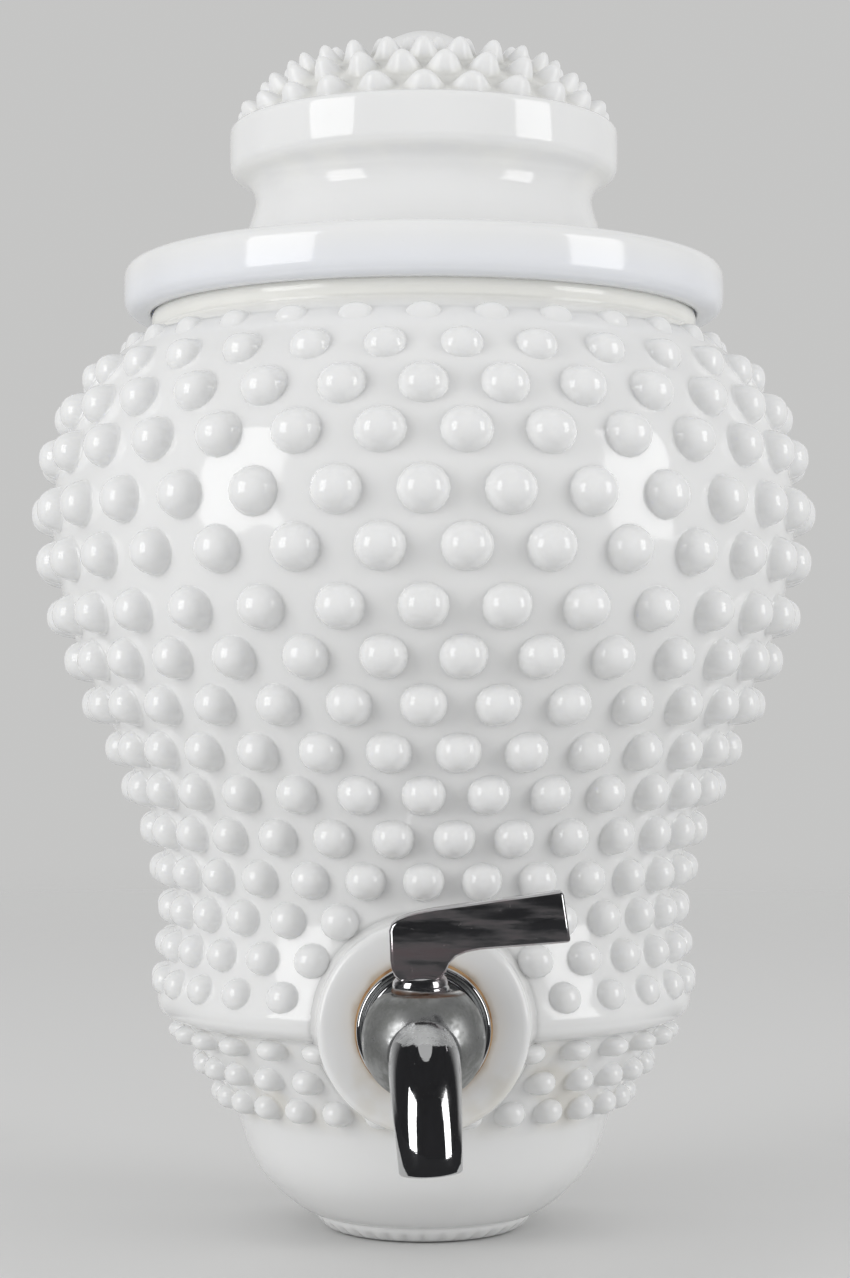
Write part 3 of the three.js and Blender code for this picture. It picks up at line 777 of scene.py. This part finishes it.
metals = {
    "chrome": (0.64, 0.645, 0.655), "chromeDull": (0.47, 0.465, 0.455),
    "brass": (0.6, 0.43, 0.2), "brassDull": (0.36, 0.24, 0.12),
    "steel": (0.52, 0.52, 0.53), "steelDull": (0.34, 0.32, 0.29), "pit": (0.1, 0.085, 0.07),
    # what lies on the tap: colour, strength, added roughness, and how much less metallic
    "scale": ((0.155, 0.16, 0.152), 0.9, 0.4, 0.5), "worn": ((0.6, 0.61, 0.61), 0.9, 0.24, 0.45),
    "film": ((0.28, 0.21, 0.225), 0.85, 0.09, 0.24),
    "rust": ((0.085, 0.036, 0.014), 0.95, 0.5, 0.7),
    # the plug's axis in metres of the frame, its lean, and the height of the bulb's top
    "plugForward": -0.114, "plugLean": 0.063, "bulbTop": -0.0549,
    # edges of the bulb round that axis, below its top and ahead of it, and of the worn place
    "bulb": ((0.003, 0.005), (0.0134, 0.0142)), "underTop": (0.0002, 0.001),
    "aheadOnBulb": (-0.0128, -0.0108), "aheadWorn": (-0.0142, -0.0128),
    "wornEdge": (-0.0641, -0.0637), "seam": ((0.0052, 0.0058), (0.0086, 0.0092)),
    "raggedness": 0.0034, "drift": 0.004,
}


def coat(surface, mask, layer):
    # lays one of the layers on a metal's colour, roughness and metallic value
    colour, roughness, metallic = surface
    tone, strength, rougher, duller = layer
    return colour.tint(mask, tone, strength), roughness + mask * rougher, metallic - mask * duller


def tapWear(coords, surface, isLever):
    across, ahead, height = (coords.axis(index) for index in range(3))
    forward = ahead - metals["plugForward"]
    level = height + across * metals["plugLean"] - metals["bulbTop"]
    reach = across.span(forward)
    drift = (coords.cloud(260, 4, 0.6) - 0.5) * metals["drift"]
    # scale that dulls the bulb
    onBulb = (reach + drift).band(*metals["bulb"]) * (1 - level.ease(*metals["underTop"]))
    onBulb = onBulb * (forward + drift).ease(*metals["aheadOnBulb"])
    blotches = coords.cloud(330, 4, 0.6).ease(0.35, 0.65)
    surface = coat(surface, onBulb * (0.72 + blotches * 0.28), metals["scale"])
    # worn top of the spout's root, with a ragged lower edge
    edge = coords.cloud(420, 4, 0.6, stretch=(1, 1, 0.4)) - 0.5
    worn = (height + edge * metals["raggedness"]).ease(*metals["wornEdge"])
    worn = worn * (1 - (forward + drift).ease(*metals["aheadWorn"]))
    strokes = coords.cloud(700, 3, 0.6, stretch=(0.2, 1, 1)).ease(0.3, 0.7)
    surface = coat(surface, worn * (0.62 + strokes * 0.38), metals["worn"])
    if isLever:
        wiped = coords.cloud(210, 4, 0.65, stretch=(0.16, 1, 1)).ease(0.44, 0.68)
        surface = coat(surface, wiped, metals["film"])
    # rust in the joint between the key and the body
    rough = level * level + coords.cloud(500, 3) * 0.0000008
    seam = (1 - rough.ease(0.0000003, 0.0000011)) * reach.band(*metals["seam"])
    return coat(surface, seam, metals["rust"])


def metalFinish(name, metal, roughness, grain, onTap=False, isLever=False):
    # grain is how much rougher the fine streaks are
    material, shader, coords = newFinish(name, {})
    patches = coords.cloud(110, 5, 0.6).ease(0.5, 0.72)
    pits = coords.cloud(1500, 3, 0.6).ease(0.69, 0.74) * coords.cloud(170, 2).ease(0.45, 0.6)
    streaks = coords.cloud(900, 3, 0.6, stretch=(0.12, 1, 1))
    colour = plainColour(coords, metals[metal]).tint(patches, metals[metal + "Dull"], 0.35)
    rougher = roughness + patches * 0.09 + streaks.ease(0.5, 0.75) * grain + pits * 0.3
    surface = (colour.tint(pits, metals["pit"], 0.7), rougher, 1 - pits * 0.2)
    if onTap:
        surface = tapWear(coords, surface, isLever)
    waves = bumpOf(coords, coords.cloud(70, 1.0), 0.00012)
    feed(shader, Base_Color=surface[0], Roughness=surface[1], Metallic=surface[2],
         Normal=bumpOf(coords, streaks, 0.000012, under=waves))
    return material


rubbers = {
    "perished": (0.23, 0.12, 0.052), "crust": (0.52, 0.33, 0.16), "crustShare": 0.7,
    "black": (0.03, 0.028, 0.026), "dust": (0.08, 0.07, 0.06), "dustShare": 0.5,
}


def rubberFinish(name, base, cover):
    material, shader, coords = newFinish(name, {"Specular IOR Level": 0.3})
    lumps = coords.cloud(420, 4, 0.65)
    mask = coords.cloud(150, 4, 0.6).ease(0.38, 0.62)
    colour = plainColour(coords, rubbers[base])
    feed(shader, Base_Color=colour.tint(mask, rubbers[cover], rubbers[cover + "Share"]),
         Roughness=0.62 + lumps * 0.3, Normal=bumpOf(coords, lumps, 0.0003))
    return material


chromeFinish = metalFinish("chrome_plate", "chrome", 0.045, 0.05, onTap=True)
leverFinish = metalFinish("chrome_lever", "chrome", 0.07, 0.12, onTap=True, isLever=True)
brassFinish = metalFinish("brass", "brass", 0.28, 0.15)
steelFinish = metalFinish("steel", "steel", 0.24, 0.12)
perishedFinish = rubberFinish("perished_rubber", "perished", "crust")
blackFinish = rubberFinish("black_rubber", "black", "dust")

for nodeName, finish in (("shank_washer", steelFinish), ("shank_nut", brassFinish),
                         ("tail_washer", brassFinish), ("tail_spring", steelFinish),
                         ("tail_nut", brassFinish)):
    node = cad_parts[nodeName]
    node.material_slots[0].link = "OBJECT"
    node.material_slots[0].material = finish


# tap casting: shank, flange, bulb and spout

casting = {
    # shank from its inner end, then the flange's face and the neck that enters the bulb
    "shank": [(4, -12), (4, -24.2), (4.3, -24.6), (7.1, -24.6), (7.5, -24.1), (7.5, 2.3)],
    "flange": [(13.9, 2.5), (14.6, 2.7), (14.8, 3.2), (14.8, 4.5), (14.6, 5.1), (14.1, 5.4),
               (13.6, 5.3), (13.2, 4.9), (12.5, 4.9), (12, 5.4), (11.3, 6.6), (10.5, 8.4),
               (9.9, 10.8), (9.6, 14)],
    "neckEnd": (0.8, 14),
    "bulbRadius": 13.3, "bulbForward": 20, "bulbTop": 10, "bulbBottom": -11, "bulbSteps": 26,
    # flat ends of the bulb: radius, and height from its bottom or top
    "bulbFoot": [(0.6, 0), (6.6, 0), (7.2, 0.06)],
    "bulbSeat": [(8.55, -0.05), (8.1, 0.05), (6.4, 0.05), (6.15, -0.2), (6.15, -1.5), (0.6, -1.5)],
    "spoutRun": 23, "spoutDrop": 23.9, "rootRadius": 8.5, "tipRadius": 6.6,
    "wall": 1.5, "steps": 26, "boreSteps": 8,
    # rings of the spout's lip: how far inside its outer face, and how far past its end
    "lip": [(0.05, 0.2), (0.25, 0.42), (0.6, 0.5), (1.2, 0.5), (1.5, 0.2), (1.5, -1)],
}


def towardsFront(bm):
    # turns what was made along Z so that it runs forward
    bmesh.ops.rotate(bm, verts=bm.verts, cent=(0, 0, 0), matrix=Matrix.Rotation(pi / 2, 3, "X"))


def closeEnds(bm):
    # fills each open loop at the ends of a turned or swept shape
    bmesh.ops.holes_fill(bm, edges=openEdges(bm), sides=0)


def spoutRing(part, inset=0.0, past=0.0):
    # the place and size of a ring square to the spout, at a part of its quarter bend
    angle = part * pi / 2
    run, drop = casting["spoutRun"], casting["spoutDrop"]
    forward = casting["bulbForward"] + run * sin(angle)
    along = Vector((0, -run * cos(angle), -drop * sin(angle))).normalized()
    place = Vector((0, -forward, -drop * (1 - cos(angle)))) + along * past
    side = Vector((1, 0, 0))
    turn = Matrix((side, along.cross(side), along)).transposed().to_4x4()
    root = casting["rootRadius"]
    radius = root + (casting["tipRadius"] - root) * part - inset
    return Matrix.Translation(place) @ turn @ Matrix.Scale(radius, 4)


def sweep(matrices, segments):
    # carries a round ring through a row of places
    bm = newMesh()
    bmesh.ops.create_circle(bm, cap_ends=False, segments=segments, radius=1, matrix=matrices[0])
    edges = bm.edges[:]
    for before, after in zip(matrices, matrices[1:]):
        made = bmesh.ops.extrude_edge_only(bm, edges=edges)["geom"]
        bmesh.ops.transform(bm, matrix=after @ before.inverted(),
                            verts=pick(made, bmesh.types.BMVert))
        edges = pick(made, bmesh.types.BMEdge)
    return bm


def buildBulb():
    radius, steps = casting["bulbRadius"], casting["bulbSteps"]
    top, bottom = casting["bulbTop"], casting["bulbBottom"]
    low, high = asin(bottom / radius), asin(top / radius)
    angles = [low + (high - low) * step / steps for step in range(1, steps)]
    outline = [(across, bottom + up) for across, up in casting["bulbFoot"]]
    outline += [(radius * cos(angle), radius * sin(angle)) for angle in angles]
    outline += [(across, top + up) for across, up in casting["bulbSeat"]]
    bulb = turnOutline(outline, 12, 7)
    closeEnds(bulb)
    bmesh.ops.translate(bulb, verts=bulb.verts, vec=(0, -casting["bulbForward"], 0))
    return bulb


def buildSpout():
    steps, wall = casting["steps"], casting["wall"]
    rings = [spoutRing(step / steps) for step in range(steps + 1)]
    rings += [spoutRing(1, inset, past) for inset, past in casting["lip"]]
    bore = range(casting["boreSteps"], steps - 1)
    rings += [spoutRing(step / steps, wall) for step in reversed(bore)]
    spout = sweep(rings, 48)
    closeEnds(spout)
    return spout


def buildCasting():
    outline = casting["shank"] + smoothCurve(casting["flange"], 0.35)[0]
    flange = turnOutline([*outline, casting["neckEnd"]], 12, 8)
    towardsFront(flange)
    closeEnds(flange)
    bm = joinMeshes(flange, buildBulb(), buildSpout())
    return facesOut(bm)


finishPiece(buildCasting(), "tap_casting", "urn", "chrome", chromeFinish, ["tap_body"], toTap, 38)
print("tap casting made")


# key: lever, stem and plug in one casting

tapLever = {
    "outline": [(-3.4, 12.7), (-4.6, 13.3), (-5.35, 14.3), (-5.8, 15.7), (-6, 17.4),
                (-5.85, 24), (-5.3, 25.2), (-4, 26.2), (-2, 26.9), (0.4, 27.4), (4, 27.9),
                (31.7, 30), (32.6, 19), (13.2, 18.7), (10.2, 18.3), (8, 17.5), (6.6, 16.2),
                (5.7, 14.6), (4.7, 13.3), (3.4, 12.7)],
    "thickness": 7.6, "bevel": 0.9, "endFrom": 31,  # the lever's end lies past this
    "stem": [(0.6, -11), (5.1, -11), (5.9, 9.6), (5.9, 10.2), (6.15, 10.35), (6.25, 10.7),
             (6.15, 11.1), (5.95, 11.4), (5.95, 12.2), (5.75, 12.9), (5.2, 13.5), (4.3, 13.9),
             (0.6, 14.1)],
    "tail": [(0.4, -20.2), (2.1, -20.2), (2.5, -19.8), (2.5, -10.5), (0.4, -10.5)],
}


def buildLever():
    plate = newMesh()
    thickness = tapLever["thickness"]
    corners = [plate.verts.new((across, -thickness / 2, up)) for across, up in tapLever["outline"]]
    face = plate.faces.new(corners)
    made = bmesh.ops.extrude_face_region(plate, geom=[face])["geom"]
    bmesh.ops.translate(plate, verts=pick(made, bmesh.types.BMVert), vec=(0, thickness, 0))
    facesOut(plate)

    def isRim(edge):
        low, high = edge.verts
        return abs(low.co.y - high.co.y) < sameLevel or low.co.x > tapLever["endFrom"]

    rims = [edge for edge in plate.edges if isRim(edge)]
    bmesh.ops.bevel(plate, geom=rims, offset=tapLever["bevel"], affect="EDGES", segments=3,
                    profile=0.5, material=-1, clamp_overlap=True)
    stem, tail = turnOutline(tapLever["stem"], 12, 5), turnOutline(tapLever["tail"], 8, 4)
    for part in (stem, tail):
        closeEnds(part)
    bm = joinMeshes(plate, stem, tail)
    facesOut(bm)
    bmesh.ops.translate(bm, verts=bm.verts, vec=(0, -casting["bulbForward"], 0))
    return bm


finishPiece(buildLever(), "tap_lever", "key", "chrome", leverFinish, ["tap_key"], toTap, 32)
print("lever made")


# rubber rings, pressed out a little by the tap's flange and by the nut

gaskets = {
    "outer": [(8, 0.25), (14.5, 0.2), (15, 0.35), (15.2, 0.8), (15.25, 1.3), (15.15, 1.9),
              (14.8, 2.35), (14.2, 2.45), (8, 2.45), (8, 0.25)],
    "inner": [(8, -11.3), (13.4, -11.3), (13.95, -11.6), (14.15, -12.2), (14, -12.9),
              (13.4, -13.25), (8, -13.25), (8, -11.3)],
}

for name, slot, finish in (("outer", "perished_rubber", perishedFinish),
                           ("inner", "black_rubber", blackFinish)):
    gasket = turnOutline(gaskets[name], 12, 6)
    towardsFront(gasket)
    facesOut(gasket)
    finishPiece(gasket, name + "_ring", "urn", slot, finish, [name + "_gasket"], toTap, 50)
print("gaskets made")


# studio

studio = {
    "floorHeight": -0.1203, "floorRadius": 3.0, "floorColour": (0.72, 0.72, 0.715),
    "floorBounce": 0.95,  # share of its colour that light bounced from the floor keeps
    "floorEdge": (0.5, 1.6),  # distances over which the floor gives way to the backdrop
    "backdrop": (0.56, 0.56, 0.555), "fill": (0.715, 0.715, 0.715),
    # softboxes: degrees right of the view line, degrees up, width and height in metres, watts
    "boxes": [(-54, 11, 0.62, 0.92, 6.9), (66, 5, 0.52, 1.15, 7.3)],
    "boxDistance": 1.3, "middle": (0, -0.03, 0.03),
    # dark curtain that only reflections show: half its turn in degrees, its [distance, height]
    # points, and how far behind the urn it clears, from 0 beside it to 1
    "curtainTurn": 150, "curtainColour": (0.035, 0.035, 0.037), "curtainEnd": (0.4, 0.84),
    "curtain": [(0.155, -0.1195), (1.7, -0.1195), (1.7, 1.6), (1.1, 2.3), (0.75, 2.5)],
}


def showingRays(tree):
    # 1 for the rays that show a surface as it looks, also in metal and glass
    path = tree.nodes.new("ShaderNodeLightPath")
    shown = Wire(tree, path.outputs["Is Camera Ray"])
    for output in ("Is Glossy Ray", "Is Transmission Ray"):
        shown = shown.maths("MAXIMUM", shown, Wire(tree, path.outputs[output]))
    return shown


def clearWhere(mask, shader):
    # lets a surface turn clear where the mask is high
    clear = mask.node("ShaderNodeBsdfTransparent", {}, {})
    base = Wire(mask.tree, shader.outputs[0])
    faded = mask.node("ShaderNodeMixShader", {}, {0: mask, 1: base, 2: clear})
    surface = mask.tree.nodes["Material Output"].inputs["Surface"]
    mask.tree.links.new(faded.socket, surface)


def makeFloor():
    finish, shader, coords = newFinish("floor", {"Roughness": 0.7, "Specular IOR Level": 0.2})
    distance = coords.node("ShaderNodeVectorMath", {"operation": "LENGTH"}, {0: coords}, 1)
    clearWhere(distance.ease(*studio["floorEdge"]), shader)
    bounce = plainColour(coords, [part * studio["floorBounce"] for part in studio["floorColour"]])
    feed(shader, Base_Color=bounce.tint(showingRays(coords.tree), studio["floorColour"]))
    bm = bmesh.new()
    bmesh.ops.create_circle(bm, cap_ends=True, segments=96, radius=studio["floorRadius"],
                            matrix=Matrix.Translation((0, 0, studio["floorHeight"])))
    floor = addMesh(bm, "floor", finish)


def makeCurtain():
    finish, shader, coords = newFinish("curtain", {
        "Base Color": (*studio["curtainColour"], 1), "Roughness": 0.9, "Specular IOR Level": 0.0})
    across, behind = coords.axis(0), coords.axis(1)
    clearWhere((behind / across.span(behind)).ease(*studio["curtainEnd"]), shader)
    bm = bmesh.new()
    turned = radians(studio["curtainTurn"])
    points = [bm.verts.new((-distance * sin(turned), -distance * cos(turned), height))
              for distance, height in studio["curtain"]]
    hems = [bm.edges.new(pair) for pair in zip(points, points[1:])]
    bmesh.ops.spin(bm, geom=points + hems, cent=(0, 0, 0), axis=(0, 0, 1), dvec=(0, 0, 0),
                   angle=2 * turned, steps=48)
    curtain = addMesh(bm, "curtain", finish)
    curtain.visible_camera = curtain.visible_diffuse = curtain.visible_shadow = False
    curtain.visible_transmission = False


def makeWorld():
    world = bpy.data.worlds.new("studio")
    world.use_nodes = True
    bpy.context.scene.world = world
    tree = world.node_tree
    shown = showingRays(tree)
    light = plainColour(shown, studio["fill"]).tint(shown, studio["backdrop"])
    tree.links.new(light.socket, tree.nodes["Background"].inputs["Color"])


def makeSoftbox(name, azimuth, elevation, width, height, power):
    lamp = bpy.data.lights.new(name, "AREA")
    lamp.shape = "RECTANGLE"
    lamp.size, lamp.size_y, lamp.energy = width, height, power
    box = addObject(name, lamp)
    turn, rise = radians(azimuth), radians(elevation)
    towards = Vector((sin(turn) * cos(rise), -cos(turn) * cos(rise), sin(rise)))
    box.location = Vector(studio["middle"]) + towards * studio["boxDistance"]
    box.rotation_euler = towards.to_track_quat("Z", "Y").to_euler()


makeFloor()
makeCurtain()
makeWorld()
for index, given in enumerate(studio["boxes"]):
    makeSoftbox("softbox_" + str(index), *given)
print("studio made")


# camera

view = {"place": (0.0003, -0.692, 0.006), "pitch": 91.45, "lens": 76.0, "clipStart": 0.01}
camera = addObject("camera", bpy.data.cameras.new("camera"))
camera.location = view["place"]
camera.rotation_euler = (radians(view["pitch"]), 0, 0)
camera.data.lens = view["lens"]
camera.data.sensor_width = 36.0
camera.data.clip_start = view["clipStart"]
bpy.context.scene.camera = camera
bpy.context.scene.view_settings.view_transform = "Standard"

bpy.context.view_layer.update()
